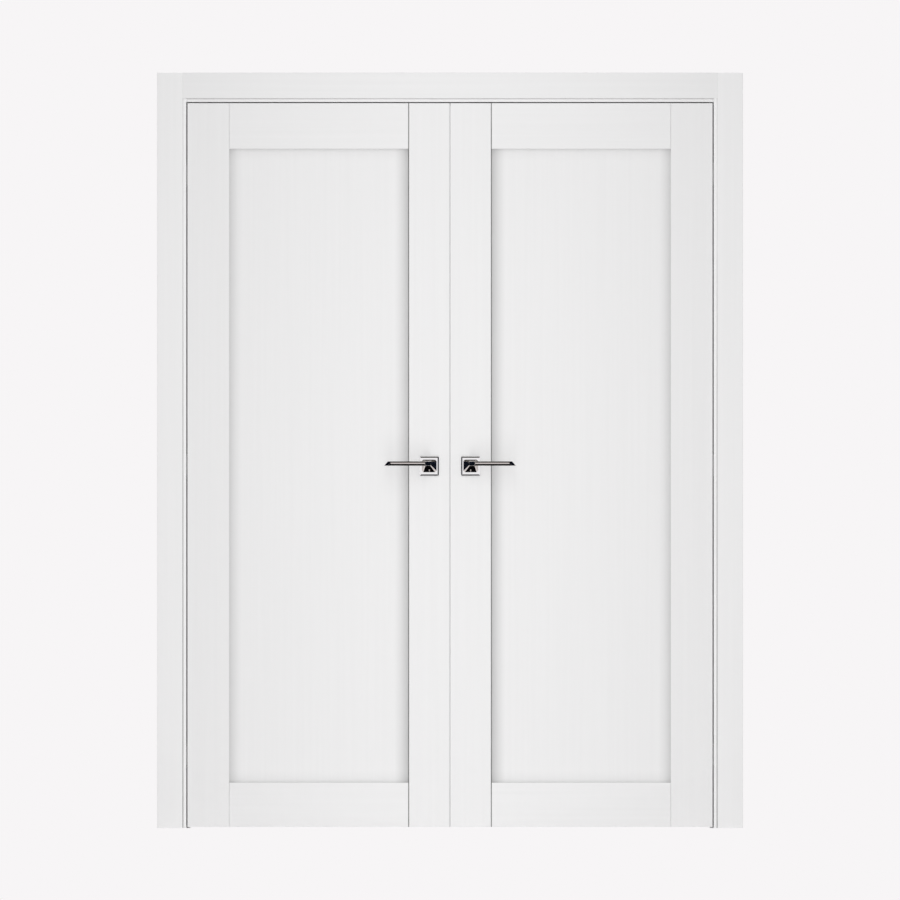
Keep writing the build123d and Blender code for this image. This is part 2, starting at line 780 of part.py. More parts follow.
def head_seal():
    """The rubber strip in the head's stop, between the side stops."""
    start = (0, stop_face, head_stop_edge + seal_inset)
    place = Plane(origin=start, x_dir=(0, 0, 1), z_dir=(1, 0, 0))
    return extrude(place * seal_section(), amount=stop_edge, both=True)


def side_casing():
    """The flat trim up one side of the front, its front arrises rounded."""
    section = Pos((casing_inner + casing_outer) / 2, jamb_front - casing_thickness / 2)
    section *= Rectangle(casing_width, casing_thickness)
    for x in (casing_inner, casing_outer):
        section = fillet(corner_near(section, x, jamb_front - casing_thickness), casing_round)
    return extrude(section, amount=casing_top, dir=(0, 0, 1))


def head_casing():
    """The flat trim across the head of the front, between the side trims."""
    section = Pos(jamb_front - casing_thickness / 2, (casing_line + casing_top) / 2)
    section *= Rectangle(casing_thickness, casing_width)
    for z in (casing_line, casing_top):
        section = fillet(corner_near(section, jamb_front - casing_thickness, z), casing_round)
    return extrude(Plane.YZ * section, amount=casing_inner, both=True)


def at_rear(casing):
    """A front trim mirrored to the rear of the frame."""
    return mirror(casing, about=Plane(origin=(0, (jamb_front + jamb_rear) / 2, 0), z_dir=(0, 1, 0)))


# All the pieces by name, a list where one name covers several like solids

sides = ("left", "right")
faces = ("front", "rear")
faceplate_planes = edge_screw_planes(faceplate_height, lock_case_z)
leaf_plate_planes = {"left": passive_plate_planes(), "right": faceplate_planes}
pieces = {"head_jamb": head_jamb(), "head_seal": head_seal(), "head_casing": head_casing()}
pieces["rear_head_casing"] = at_rear(head_casing())
pieces["bolt_keeper_plate"] = on_side("left", keeper_plate())
pieces["frame_screws"] = [on_side("left", part) for part in plate_screws(keeper_screw_planes())]
pieces["frame_corner_screws"] = []
for side in sides:
    pieces[f"{side}_jamb"] = on_side(side, side_jamb())
    pieces[f"{side}_seal"] = on_side(side, side_seal())
    pieces[f"{side}_casing"] = on_side(side, side_casing())
    pieces[f"rear_{side}_casing"] = on_side(side, at_rear(side_casing()))
    pieces["frame_screws"] += [on_side(side, part) for part in hinge_screws(jamb_face, 1)]
    pieces["frame_corner_screws"] += [on_side(side, part) for part in corner_screws()]
    pieces[f"{side}_hinge_stile"] = on_side(side, hinge_stile())
    pieces[f"{side}_top_rail"] = on_side(side, rail(leaf_top, top_rail_line))
    pieces[f"{side}_bottom_rail"] = on_side(side, rail(leaf_bottom, bottom_rail_line))
    pieces[f"{side}_panel"] = on_side(side, panel())
    leaf_screws = hinge_screws(hinge_edge, -1) + plate_screws(leaf_plate_planes[side])
    pieces[f"{side}_leaf_screws"] = [on_side(side, part) for part in leaf_screws]
    pieces[f"{side}_hinge_arms"] = [on_side(side, hinge_arm(z)) for z in hinge_heights.values()]
    for place, z in hinge_heights.items():
        pieces[f"{side}_jamb_{place}_hinge_housing"] = on_side(side, hinge_housing(jamb_face, 1, z))
        pieces[f"{side}_leaf_{place}_hinge_housing"] = on_side(side, hinge_housing(hinge_edge, -1, z))
    pieces[f"{side}_spindle"] = on_side(side, spindle())
    for face in faces:
        pieces[f"{side}_{face}_rose"] = on_side(side, on_face(face, rose()))
        pieces[f"{side}_{face}_lever"] = on_side(side, on_face(face, lever()))

# Pieces of the passive left-hand leaf alone
pieces["left_lock_stile"] = on_side("left", passive_lock_stile())
pieces["strike_plate"] = on_side("left", strike_plate())
for end in bolt_ends:
    pieces[f"{end}_flush_bolt_plate"] = on_side("left", bolt_plate(end))
    pieces[f"{end}_flush_bolt_rod"] = on_side("left", bolt_rod(end))

# Pieces of the active right-hand leaf alone
pieces["right_lock_stile"] = active_lock_stile()
pieces["lock_case"] = lock_case()
pieces["lock_faceplate"] = lock_faceplate()
pieces["lock_follower"] = follower()
pieces["latch_bolt"] = latch_bolt()

os.makedirs("parts", exist_ok=True)
for name, piece in pieces.items():
    solid = Compound(children=piece) if isinstance(piece, list) else piece
    export_step(solid, f"parts/{name}.step")
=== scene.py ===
import bmesh
import bpy
import numpy as np
from bpy.props import FloatProperty, FloatVectorProperty, PointerProperty
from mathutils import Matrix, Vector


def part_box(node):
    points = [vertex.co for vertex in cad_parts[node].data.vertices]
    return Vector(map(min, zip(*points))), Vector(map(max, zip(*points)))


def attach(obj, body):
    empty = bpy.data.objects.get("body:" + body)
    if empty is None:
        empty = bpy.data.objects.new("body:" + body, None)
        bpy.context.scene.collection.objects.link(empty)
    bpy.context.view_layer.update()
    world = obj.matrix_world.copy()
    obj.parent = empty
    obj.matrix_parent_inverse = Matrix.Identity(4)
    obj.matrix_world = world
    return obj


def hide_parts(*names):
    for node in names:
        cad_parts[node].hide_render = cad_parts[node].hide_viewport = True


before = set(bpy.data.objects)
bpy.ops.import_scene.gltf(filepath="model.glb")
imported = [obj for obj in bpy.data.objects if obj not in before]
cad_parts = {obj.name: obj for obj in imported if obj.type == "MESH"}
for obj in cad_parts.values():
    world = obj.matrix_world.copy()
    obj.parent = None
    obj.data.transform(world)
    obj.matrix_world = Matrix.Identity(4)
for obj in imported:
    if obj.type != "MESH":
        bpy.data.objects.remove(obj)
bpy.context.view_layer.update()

bl_info = {
    "name": "Framed double doors",
    "version": (1, 0, 0),
    "blender": (4, 5, 0),
    "location": "View3D > Sidebar > Doors",
    "description": "Dresses a pair of framed interior doors and sets them in a pale studio",
    "category": "Object",
}

# Lengths are in metres. X runs to the right, Y to the rear and Z up from the floor.
MM = 0.001

SIDES = ("left", "right")
FACES = {"front": -1, "rear": 1}
HINGE_PLACES = ("bottom", "middle", "top")
ENDS = ("top", "bottom")

STILES = [f"{side}_{edge}_stile" for side in SIDES for edge in ("hinge", "lock")]
RAILS = [f"{side}_{end}_rail" for side in SIDES for end in ENDS]
PANELS = [f"{side}_panel" for side in SIDES]
SIDE_CASINGS = [f"{rear}{side}_casing" for side in SIDES for rear in ("", "rear_")]
SIDE_JAMBS = [f"{side}_jamb" for side in SIDES]
HEAD_CASINGS = ["head_casing", "rear_head_casing"]
HEAD_JAMB = ["head_jamb"]

LEVERS = [f"{side}_{face}_lever" for side in SIDES for face in FACES]
ROSES = [f"{side}_{face}_rose" for side in SIDES for face in FACES]
SPINDLES = [f"{side}_spindle" for side in SIDES]

HOUSINGS = [
    f"{side}_{member}_{place}_hinge_housing"
    for side in SIDES for member in ("jamb", "leaf") for place in HINGE_PLACES
]
HINGE_ARMS = [f"{side}_hinge_arms" for side in SIDES]
SCREWS = ["frame_screws", "frame_corner_screws"] + [f"{side}_leaf_screws" for side in SIDES]

EDGE_PLATES = ["lock_faceplate", "strike_plate", "bolt_keeper_plate"]
EDGE_PLATES += [f"{end}_flush_bolt_plate" for end in ENDS]
BOLTS = ["latch_bolt"] + [f"{end}_flush_bolt_rod" for end in ENDS]
LOCK_INSIDES = ["lock_case", "lock_follower"]

# How rough each finish is, from its smooth places to its rough ones
FOIL_ROUGHNESS = {"To Min": 0.38, "To Max": 0.46}
CHROME_ROUGHNESS = {"To Min": 0.03, "To Max": 0.08}
STEEL_ROUGHNESS = {"To Min": 0.24, "To Max": 0.4}
RUBBER_ROUGHNESS = {"To Min": 0.55, "To Max": 0.68}
TUMBLED_ROUGHNESS = {"spindle": 0.4, "grub_screw": 0.25, "hinge": 0.34, "screw": 0.28, "lock": 0.42}
TUMBLED_SPREAD = 0.06

# The part of a noise that a pattern uses, how fine the noise is, how strongly it is pressed,
# and how many times wider than deep a grain or a line is
NOISE_SPAN = {"From Min": 0.3, "From Max": 0.7}
STREAK_DETAIL = 4.0
GRAIN_DETAIL = 3.0
LINE_DETAIL = 2.0
FINE_RELIEF = 0.15
COARSE_RELIEF = 0.2
WIDTH_TO_DEPTH = 10

# How strongly lacquer and rubber bend light
LACQUER_IOR = 1.46
RUBBER_IOR = 1.5

# The angle past which an edge stays sharp, and the points along a seal's bulb and round a screw
SHARP_ANGLE = np.radians(35)
BULB_POINTS = 25
SCREW_POINTS = 36

# Colours of the cards that only mirrors see
SIDE_CARD_COLOUR = "#1E2533"
TOP_CARD_COLOUR = "#4C4A43"
FLOOR_CARD_COLOUR = "#0E0E10"


# Colours and nodes

def linear(code):
    """The linear colour of an sRGB hex code."""
    srgb = np.array([int(code[first:first + 2], 16) for first in (1, 3, 5)]) / 255
    return np.where(srgb <= 0.04045, srgb / 12.92, ((srgb + 0.055) / 1.055) ** 2.4).tolist()


def opaque(colour):
    """A colour with full alpha, as colour sockets take it."""
    return (*colour, 1.0)


def add_node(tree, kind, inputs=None, **settings):
    """Adds a node, applies its settings, and sets each named input or links it to another node's output."""
    node = tree.nodes.new(kind)
    for name, value in settings.items():
        setattr(node, name, value)
    for socket, value in (inputs or {}).items():
        if isinstance(value, bpy.types.NodeSocket):
            tree.links.new(value, node.inputs[socket])
        else:
            node.inputs[socket].default_value = value
    return node


def empty_material(name):
    """A new material with no nodes, and its node tree."""
    material = bpy.data.materials.new(name)
    material.use_nodes = True
    material.node_tree.nodes.clear()
    return material, material.node_tree


def stretched_noise(tree, sizes, detail):
    """Noise over the object whose blotches have the given sizes along X, Y and Z."""
    place = add_node(tree, "ShaderNodeTexCoord").outputs["Object"]
    scale = [1 / size for size in sizes]
    mapped = add_node(tree, "ShaderNodeMapping", {"Vector": place, "Scale": scale}).outputs["Vector"]
    noise = add_node(tree, "ShaderNodeTexNoise", {"Vector": mapped, "Scale": 1.0, "Detail": detail})
    return noise.outputs["Fac"]


def end_material(tree, inputs):
    """Ends a material with one principled shader that has these inputs, linked to the output."""
    shader = add_node(tree, "ShaderNodeBsdfPrincipled", inputs)
    add_node(tree, "ShaderNodeOutputMaterial", {"Surface": shader.outputs["BSDF"]})


# Materials

def pressed_white_foil(name, looks, tones, sizes_along, border=None):
    """White decor foil pressed on board, with an ash grain that runs along one axis.

    The press leaves shallow pores, drawn a millimetre wide so that they show, and the print under
    the satin lacquer gives faint streaks, so that broad faces read as white wood and not as paint.
    The tones are the darkest and the lightest of those streaks. A border is a function that gives how much
    of the tone stays near the edges of a piece, where it paints shade.
    """
    material, tree = empty_material(name)
    streak = stretched_noise(tree, sizes_along(looks.streak_width, looks.streak_length), STREAK_DETAIL)
    pore = stretched_noise(tree, sizes_along(looks.pore_width, looks.pore_length), LINE_DETAIL)
    share = add_node(tree, "ShaderNodeMapRange", {"Value": streak, **NOISE_SPAN}).outputs["Result"]
    inputs = {0: share, 6: opaque(tones[0]), 7: opaque(tones[1])}
    tone = add_node(tree, "ShaderNodeMix", inputs, data_type="RGBA").outputs[2]
    if border:
        # The border multiplies the tone by painted shade near the piece's edges.
        inputs = {0: 1.0, 6: tone, 7: border(tree, looks)}
        tone = add_node(tree, "ShaderNodeMix", inputs, data_type="RGBA", blend_type="MULTIPLY").outputs[2]
    press = {"Height": pore, "Strength": FINE_RELIEF, "Distance": looks.pore_depth}
    sheen = add_node(tree, "ShaderNodeMapRange", {"Value": pore, **NOISE_SPAN, **FOIL_ROUGHNESS})
    end_material(tree, {
        "Base Color": tone,
        "Roughness": sheen.outputs["Result"],
        "IOR": LACQUER_IOR,
        "Normal": add_node(tree, "ShaderNodeBump", press).outputs["Normal"],
    })
    return material


def nearness(tree, along, edge, width, fall):
    """How near a point is to an edge: (1 - distance / width) ** fall, and 0 further off."""
    gap = add_node(tree, "ShaderNodeMath", {0: along, 1: edge}, operation="SUBTRACT").outputs["Value"]
    distance = add_node(tree, "ShaderNodeMath", {0: gap}, operation="ABSOLUTE").outputs["Value"]
    inputs = {"Value": distance, "From Min": 0.0, "From Max": width, "To Min": 1.0, "To Max": 0.0}
    share = add_node(tree, "ShaderNodeMapRange", inputs).outputs["Result"]
    return add_node(tree, "ShaderNodeMath", {0: share, 1: fall}, operation="POWER").outputs["Value"]


def kept_beside(tree, edges):
    """How much of a piece's tone stays where painted shade darkens it beside its edges.

    Each nearness takes away its strength, and what they leave, 1 - strength * nearness, is multiplied.
    """
    kept = 1.0
    for near, strength in edges:
        inputs = {0: near, 1: -strength, 2: 1.0}
        left = add_node(tree, "ShaderNodeMath", inputs, operation="MULTIPLY_ADD").outputs["Value"]
        kept = add_node(tree, "ShaderNodeMath", {0: kept, 1: left}, operation="MULTIPLY").outputs["Value"]
    return kept


def piece_axes(tree):
    """A point's distance from the meeting line, the same on both sides, its depth and its height."""
    place = add_node(tree, "ShaderNodeTexCoord").outputs["Object"]
    axes = add_node(tree, "ShaderNodeSeparateXYZ", {"Vector": place}).outputs
    across = add_node(tree, "ShaderNodeMath", {0: axes["X"]}, operation="ABSOLUTE").outputs["Value"]
    return {"across": across, "depth": axes["Y"], "up": axes["Z"]}


def panel_border(tree, looks):
    """Painted shade round a panel, darker near its edges as in its recess, and a painted shadow line in the
    quirk beside the lock stile.
    """
    axes = piece_axes(tree)
    lock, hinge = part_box("right_lock_stile")[1].x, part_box("right_hinge_stile")[0].x
    low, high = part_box("right_bottom_rail")[1].z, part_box("right_top_rail")[0].z
    quirk = (looks.joint_width, looks.joint_fall)
    lock_fade = (looks.lock_painted_shade_width, looks.lock_painted_shade_fall)
    fade = (looks.painted_shade_width, looks.painted_shade_fall)
    # Painted shade near the panel's edges, and a painted shadow line beside the lock stile.
    return kept_beside(tree, [
        (nearness(tree, axes["across"], lock, *quirk), looks.quirk_painted_shadow),
        (nearness(tree, axes["across"], lock, *lock_fade), looks.lock_painted_shade),
        (nearness(tree, axes["across"], hinge, *fade), looks.hinge_painted_shade),
        (nearness(tree, axes["up"], low, *fade), looks.end_painted_shade),
        (nearness(tree, axes["up"], high, *fade), looks.end_painted_shade),
    ])


def rail_border(tree, looks):
    """A painted shadow line in the joint of a rail and the lock stile."""
    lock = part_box("right_lock_stile")[1].x
    joint = nearness(tree, piece_axes(tree)["across"], lock, looks.joint_width, looks.joint_fall)
    # Painted shadow line in the joint beside the lock stile.
    return kept_beside(tree, [(joint, looks.joint_painted_shadow)])


def side_jamb_border(tree, looks):
    """A line of painted shade on a side jamb where the casing laps it, which deepens towards the floor."""
    axes = piece_axes(tree)
    lap = nearness(tree, axes["across"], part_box("right_casing")[0].x, looks.lap_width, looks.lap_fall)
    low = nearness(tree, axes["up"], 0.0, looks.low_lap_height, looks.low_lap_fall)
    deep = add_node(tree, "ShaderNodeMath", {0: lap, 1: low}, operation="MULTIPLY").outputs["Value"]
    # Painted shade along the casing's edge, darker towards the floor.
    return kept_beside(tree, [(lap, looks.side_lap_painted_shade), (deep, looks.low_lap_painted_shade)])


def head_jamb_border(tree, looks):
    """A line of painted shade on the head jamb where the casing laps it, and painted shade in the corner
    where its stop begins.
    """
    axes = piece_axes(tree)
    lap = nearness(tree, axes["up"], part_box("head_casing")[0].z, looks.lap_width, looks.lap_fall)
    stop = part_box("head_seal")[0].y + looks.seal_bulb_height
    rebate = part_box("bolt_keeper_plate")[0].z
    inputs = {
        0: nearness(tree, axes["depth"], stop, looks.corner_width, looks.joint_fall),
        1: nearness(tree, axes["up"], rebate, looks.corner_width, looks.joint_fall),
    }
    corner = add_node(tree, "ShaderNodeMath", inputs, operation="MULTIPLY").outputs["Value"]
    # Painted shade along the casing's edge and in the rebate's corner.
    return kept_beside(tree, [(lap, looks.head_lap_painted_shade), (corner, looks.corner_painted_shade)])


def upright(width, length):
    """The sizes of a blotch of grain that runs up a piece."""
    return (width, width, length)


def crosswise(width, length):
    """The sizes of a blotch of grain that runs across a piece."""
    return (length, width, width)


def polished_chrome(name, colour, looks):
    """Bright chrome over a buffed casting: a mirror, with the faint haze that buffing leaves."""
    material, tree = empty_material(name)
    haze = stretched_noise(tree, [looks.buff_size] * 3, GRAIN_DETAIL)
    sheen = add_node(tree, "ShaderNodeMapRange", {"Value": haze, **NOISE_SPAN, **CHROME_ROUGHNESS})
    end_material(tree, {
        "Base Color": opaque(colour),
        "Metallic": 1.0,
        "Roughness": sheen.outputs["Result"],
    })
    return material


def tumbled_metal(name, colour, roughness, looks):
    """Tumbled metal, plated or bare: a dull satin skin that scatters light in small grains.

    The grains are drawn coarser than the real ones, so that they show.
    """
    material, tree = empty_material(name)
    grain = stretched_noise(tree, [looks.grit_size] * 3, GRAIN_DETAIL)
    depth = looks.grit_size / WIDTH_TO_DEPTH
    skin = {"Height": grain, "Strength": COARSE_RELIEF, "Distance": depth}
    spread = {"To Min": roughness - TUMBLED_SPREAD, "To Max": roughness + TUMBLED_SPREAD}
    sheen = add_node(tree, "ShaderNodeMapRange", {"Value": grain, **NOISE_SPAN, **spread})
    end_material(tree, {
        "Base Color": opaque(colour),
        "Metallic": 1.0,
        "Roughness": sheen.outputs["Result"],
        "Normal": add_node(tree, "ShaderNodeBump", skin).outputs["Normal"],
    })
    return material


def brushed_steel(name, colour, looks):
    """Stainless sheet brushed along its length: fine upright scratches that spread each highlight.

    The scratches are drawn coarser than the real ones, so that they show.
    """
    material, tree = empty_material(name)
    scratch = stretched_noise(tree, upright(looks.scratch_width, looks.scratch_length), LINE_DETAIL)
    depth = looks.scratch_width / WIDTH_TO_DEPTH
    line = {"Height": scratch, "Strength": FINE_RELIEF, "Distance": depth}
    sheen = add_node(tree, "ShaderNodeMapRange", {"Value": scratch, **NOISE_SPAN, **STEEL_ROUGHNESS})
    end_material(tree, {
        "Base Color": opaque(colour),
        "Metallic": 1.0,
        "Roughness": sheen.outputs["Result"],
        "Normal": add_node(tree, "ShaderNodeBump", line).outputs["Normal"],
    })
    return material


def extruded_rubber(name, colour, looks):
    """Pale thermoplastic rubber from a die: matt, with fine drawn lines as wide as a brushed scratch."""
    material, tree = empty_material(name)
    drawn = stretched_noise(tree, upright(looks.scratch_width, looks.streak_length), LINE_DETAIL)
    depth = looks.scratch_width / WIDTH_TO_DEPTH
    line = {"Height": drawn, "Strength": COARSE_RELIEF, "Distance": depth}
    sheen = add_node(tree, "ShaderNodeMapRange", {"Value": drawn, **NOISE_SPAN, **RUBBER_ROUGHNESS})
    end_material(tree, {
        "Base Color": opaque(colour),
        "Roughness": sheen.outputs["Result"],
        "IOR": RUBBER_IOR,
        "Normal": add_node(tree, "ShaderNodeBump", line).outputs["Normal"],
    })
    return material


def plain_matt(name, colour):
    """An even matt paint, for the cards around the doors."""
    material, tree = empty_material(name)
    end_material(tree, {"Base Color": opaque(colour), "Roughness": 1.0, "Specular IOR Level": 0.0})
    return material


def dress(nodes, material):
    """Puts a material on CAD nodes by name."""
    for node in nodes:
        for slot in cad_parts[node].material_slots:
            slot.material = material


# Meshes

def mesh_object(name, points, faces, material):
    """An object at the origin from an array of points and a list of faces, smooth between sharp edges."""
    mesh = bpy.data.meshes.new(name)
    mesh.from_pydata(np.asarray(points).tolist(), [], faces)
    mesh.polygons.foreach_set("use_smooth", np.ones(len(mesh.polygons), dtype=bool))
    mesh.set_sharp_from_angle(angle=SHARP_ANGLE)
    mesh.materials.append(material)
    piece = bpy.data.objects.new(name, mesh)
    bpy.context.scene.collection.objects.link(piece)
    return piece


def closed_rings(name, rings, material):
    """A closed piece from a stack of like rings, an array of rows by columns by 3, capped at both ends."""
    rows, columns = rings.shape[:2]
    row, column = np.meshgrid(np.arange(rows - 1) * columns, np.arange(columns), indexing="ij")
    after = (column + 1) % columns
    corners = [row + column, row + after, row + columns + after, row + columns + column]
    quads = np.stack(corners, axis=-1).reshape(-1, 4).tolist()
    first_cap = np.arange(columns).tolist()
    last_cap = (np.arange(columns) + (rows - 1) * columns).tolist()
    piece = mesh_object(name, rings.reshape(-1, 3), quads + [first_cap, last_cap], material)
    shell = bmesh.new()
    shell.from_mesh(piece.data)
    bmesh.ops.recalc_face_normals(shell, faces=shell.faces)
    shell.to_mesh(piece.data)
    shell.free()
    return piece


def carried(profile, start, end, across, out):
    """A profile's ring at both ends of a straight path: start or end + u * across + v * out."""
    ring = profile[:, :1] * np.array(across) + profile[:, 1:] * np.array(out)
    return np.stack([ring + np.array(start), ring + np.array(end)])


def bulb_arc(width, height):
    """Half a squared ellipse, |u/a|^p + |v/b|^p = 1, from its right foot over the top to its left foot."""
    power = 2.6
    turn = np.linspace(0, np.pi, BULB_POINTS)
    across = np.sign(np.cos(turn)) * np.abs(np.cos(turn)) ** (2 / power)
    return np.column_stack([across * width / 2, np.sin(turn) ** (2 / power) * height])


def stop_seal_profile(looks):
    """A stop seal's section: U across the stop, V out towards the leaf from the stop's face.

    A bulb stands on the face. The stem below it swells from its waist in barbs that are saw waves
    of the depth, u = waist + (width - waist) * (depth * barbs mod 1), down one side and up the other.
    """
    barbs, points_per_barb = 3, 4
    depth = np.linspace(0, 1, points_per_barb * barbs + 1)[1:]
    swell = looks.seal_waist / 2 + (looks.seal_stem_width - looks.seal_waist) / 2 * (depth * barbs % 1.0)
    down = np.column_stack([-swell, -depth * looks.seal_stem_depth])
    up = (down * (-1, 1))[::-1]
    return np.vstack([bulb_arc(looks.seal_bulb_width, looks.seal_bulb_height), down, up])


def stop_seal_path(node, looks):
    """The two ends of the line that a stop seal follows on its stop's face, and the way across it."""
    low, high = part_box(node)
    start, end = (low + high) / 2, (low + high) / 2
    start.y = end.y = low.y + looks.seal_bulb_height
    if node == "head_seal":
        start.x, end.x = low.x, high.x
        return start, end, (0, 0, 1)
    start.z, end.z = low.z, high.z
    return start, end, (1, 0, 0)


def grub_screw_rings(looks, mouth):
    """A grub screw whose socket end is at the mouth and faces down.

    Each ring has a radius and a depth into the screw: the round wall, a bevel, then the six-sided
    socket, whose radius at a turn is flat / cos((turn + 30 degrees) mod 60 degrees - 30 degrees),
    down to its coned floor.
    """
    turn = np.linspace(0, 2 * np.pi, SCREW_POINTS, endpoint=False)
    sixth = np.pi / 3
    hexagon = looks.grub_socket / 2 / np.cos((turn + sixth / 2) % sixth - sixth / 2)
    wall = np.full_like(turn, looks.grub_radius)
    cone = hexagon / 3
    radii = np.stack([wall, wall, wall - looks.grub_bevel, hexagon, hexagon, cone])
    socket = looks.grub_radius - looks.grub_bevel
    depths = np.array([looks.grub_length, looks.grub_bevel, 0, 0, socket, socket + looks.grub_bevel])
    rise = np.broadcast_to(depths[:, None], radii.shape)
    ring = np.stack([radii * np.cos(turn), radii * np.sin(turn), rise], axis=-1)
    return ring + np.array(mouth)


# Settings

class FramedDoorLooks(bpy.types.PropertyGroup):
    """Colours and pattern sizes of the doors' finishes."""

    foil_light: FloatVectorProperty(
        name="Foil light", description="Lightest tone of the white foil", subtype="COLOR",
        default=linear("#F3F3F3"))
    foil_shade: FloatVectorProperty(
        name="Foil shade", description="Darkest tone of the grain in the white foil", subtype="COLOR",
        default=linear("#F1F1F1"))
    streak_width: FloatProperty(
        name="Streak width", description="Width of a streak of the printed grain", unit="LENGTH",
        default=9 * MM)
    streak_length: FloatProperty(
        name="Streak length", description="Length of a streak of the printed grain", unit="LENGTH",
        default=700 * MM)
    pore_width: FloatProperty(
        name="Pore width", description="Width of a pressed pore", unit="LENGTH", default=1.2 * MM)
    pore_length: FloatProperty(
        name="Pore length", description="Length of a pressed pore", unit="LENGTH", default=45 * MM)
    pore_depth: FloatProperty(
        name="Pore depth", description="Depth of a pressed pore", unit="LENGTH", default=0.05 * MM)
    # A lighter copy of the foil for the frame's sides: painted light that makes up for the lamps' falloff
    # towards them.
    painted_lit_frame_light: FloatVectorProperty(
        name="Frame light", description="Lightest tone of the foil on the frame's sides", subtype="COLOR",
        default=linear("#F8F8F8"))
    painted_lit_frame_shade: FloatVectorProperty(
        name="Frame shade", description="Darkest tone of the foil on the frame's sides", subtype="COLOR",
        default=linear("#F6F6F6"))
    # Painted shade round each panel, darker near its edges as in its recess.
    lock_painted_shade: FloatProperty(
        name="Lock painted shade", description="Tone that a panel loses beside a lock stile", subtype="FACTOR",
        default=0.4)
    lock_painted_shade_width: FloatProperty(
        name="Lock painted shade width", description="How far that toning reaches into a panel", unit="LENGTH",
        default=42 * MM)
    lock_painted_shade_fall: FloatProperty(
        name="Lock painted shade fall", description="How fast that toning fades", default=1.4)
    hinge_painted_shade: FloatProperty(
        name="Hinge painted shade", description="Tone that a panel loses beside a hinge stile", subtype="FACTOR",
        default=0.3)
    end_painted_shade: FloatProperty(
        name="End painted shade", description="Tone that a panel loses beside a rail", subtype="FACTOR",
        default=0.11)
    painted_shade_width: FloatProperty(
        name="Painted shade width", description="How far the other toning reaches into a panel", unit="LENGTH",
        default=38 * MM)
    painted_shade_fall: FloatProperty(
        name="Painted shade fall", description="How fast the other toning fades", default=1.7)
    # Painted shade on the jambs where the casings lap them.
    lap_width: FloatProperty(
        name="Lap width", description="Width of the soft line where a casing laps a jamb", unit="LENGTH",
        default=4 * MM)
    lap_fall: FloatProperty(
        name="Lap fall", description="How fast that line fades", default=0.7)
    side_lap_painted_shade: FloatProperty(
        name="Side lap painted shade", description="Tone that a side jamb loses in that line", subtype="FACTOR",
        default=0.22)
    low_lap_painted_shade: FloatProperty(
        name="Low lap painted shade", description="Further tone that a side jamb loses there at the floor",
        subtype="FACTOR", default=0.6)
    low_lap_height: FloatProperty(
        name="Low lap height", description="Height at which that further toning begins", unit="LENGTH",
        default=1.62)
    low_lap_fall: FloatProperty(
        name="Low lap fall", description="How fast that further toning fades upwards", default=0.5)
    head_lap_painted_shade: FloatProperty(
        name="Head lap painted shade", description="Tone that the head jamb loses in that line", subtype="FACTOR",
        default=0.3)
    # Painted shade in the corner of the head jamb's rebate above the leaves.
    corner_width: FloatProperty(
        name="Corner width", description="Width of the dark corner above the leaves", unit="LENGTH",
        default=4 * MM)
    corner_painted_shade: FloatProperty(
        name="Corner painted shade", description="Tone that the head jamb loses in that corner", subtype="FACTOR",
        default=0.6)
    # Painted shadow lines in the joints and the quirk beside a lock stile.
    joint_width: FloatProperty(
        name="Joint width", description="Width of the dark joint beside a lock stile", unit="LENGTH",
        default=2.4 * MM)
    joint_fall: FloatProperty(
        name="Joint fall", description="How fast the dark joint fades across its width", default=0.2)
    joint_painted_shadow: FloatProperty(
        name="Joint painted shadow", description="Tone that a rail loses in that joint", subtype="FACTOR",
        default=0.72)
    quirk_painted_shadow: FloatProperty(
        name="Quirk painted shadow", description="Tone that a panel loses in that joint", subtype="FACTOR",
        default=0.4)
    lever_chrome: FloatVectorProperty(
        name="Lever chrome", description="Colour of the chrome on the levers", subtype="COLOR",
        default=linear("#CFC9C6"))
    rose_chrome: FloatVectorProperty(
        name="Rose chrome", description="Colour of the chrome on the roses", subtype="COLOR",
        default=linear("#F2F2F3"))
    buff_size: FloatProperty(
        name="Buffing", description="Size of the hazy blotches that buffing leaves", unit="LENGTH",
        default=6 * MM)
    nickel: FloatVectorProperty(
        name="Hinge nickel", description="Colour of the plated hinge housings and screws", subtype="COLOR",
        default=linear("#BDB8B0"))
    steel: FloatVectorProperty(
        name="Plate steel", description="Colour of the brushed plates, bolts and grub screws",
        subtype="COLOR", default=linear("#C6C7C8"))
    # Darker than the plate steel: painted shade that deepens the hinge gaps between leaves and jambs.
    shaded_arm_steel: FloatVectorProperty(
        name="Hinge arm steel", description="Colour of the hinge arms", subtype="COLOR",
        default=linear("#8E8F91"))
    zinc: FloatVectorProperty(
        name="Zinc plating", description="Colour of the plated lock parts and spindles", subtype="COLOR",
        default=linear("#B4B9BD"))
    grit_size: FloatProperty(
        name="Grit size", description="Size of the grains in a tumbled metal's skin", unit="LENGTH",
        default=0.8 * MM)
    scratch_width: FloatProperty(
        name="Scratch width", description="Width of a brushed scratch", unit="LENGTH", default=0.4 * MM)
    scratch_length: FloatProperty(
        name="Scratch length", description="Length of a brushed scratch", unit="LENGTH", default=30 * MM)
    rubber: FloatVectorProperty(
        name="Seal rubber", description="Colour of the seal strips", subtype="COLOR",
        default=linear("#DADBDB"))
    seal_bulb_width: FloatProperty(
        name="Stop seal width", description="Width of a stop seal's bulb", unit="LENGTH", default=7 * MM)
    seal_bulb_height: FloatProperty(
        name="Stop seal height", description="Height of a stop seal's bulb", unit="LENGTH",
        default=3.5 * MM)
    seal_stem_width: FloatProperty(
        name="Stem width", description="Width of a stop seal's stem over its barbs", unit="LENGTH",
        default=3.9 * MM)
    seal_stem_depth: FloatProperty(
        name="Stem depth", description="Depth of a stop seal's stem", unit="LENGTH", default=6 * MM)
    seal_waist: FloatProperty(
        name="Stem waist", description="Width of a stop seal's stem between its barbs", unit="LENGTH",
        default=1.6 * MM)
